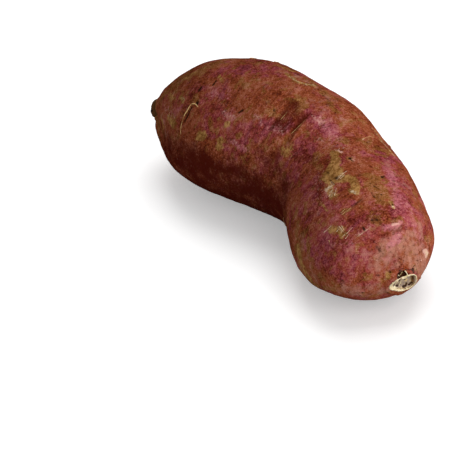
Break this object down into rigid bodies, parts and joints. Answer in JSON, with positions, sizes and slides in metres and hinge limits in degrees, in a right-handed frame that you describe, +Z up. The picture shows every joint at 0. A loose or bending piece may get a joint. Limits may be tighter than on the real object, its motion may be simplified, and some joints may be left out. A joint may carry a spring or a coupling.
{
  "type": "sweet potato",
  "caption": "Whole red-skinned sweet potato, bent like a kidney, with a stalk stub at one end and a root scar at the other, lying on a flattened belly.",
  "frame": {"origin": "on the surface that the root lies on, under the middle of its box", "axes": "+X along the root from the stalk's stub to the root scar, +Z up, and +Y towards the outside of its bend"},
  "size_m": [0.1786, 0.0912, 0.0739],
  "materials": {
    "skin": "satin"
  },
  "bodies": {
    "root": {"sweet_potato": "skin"}
  },
  "joints": []
}
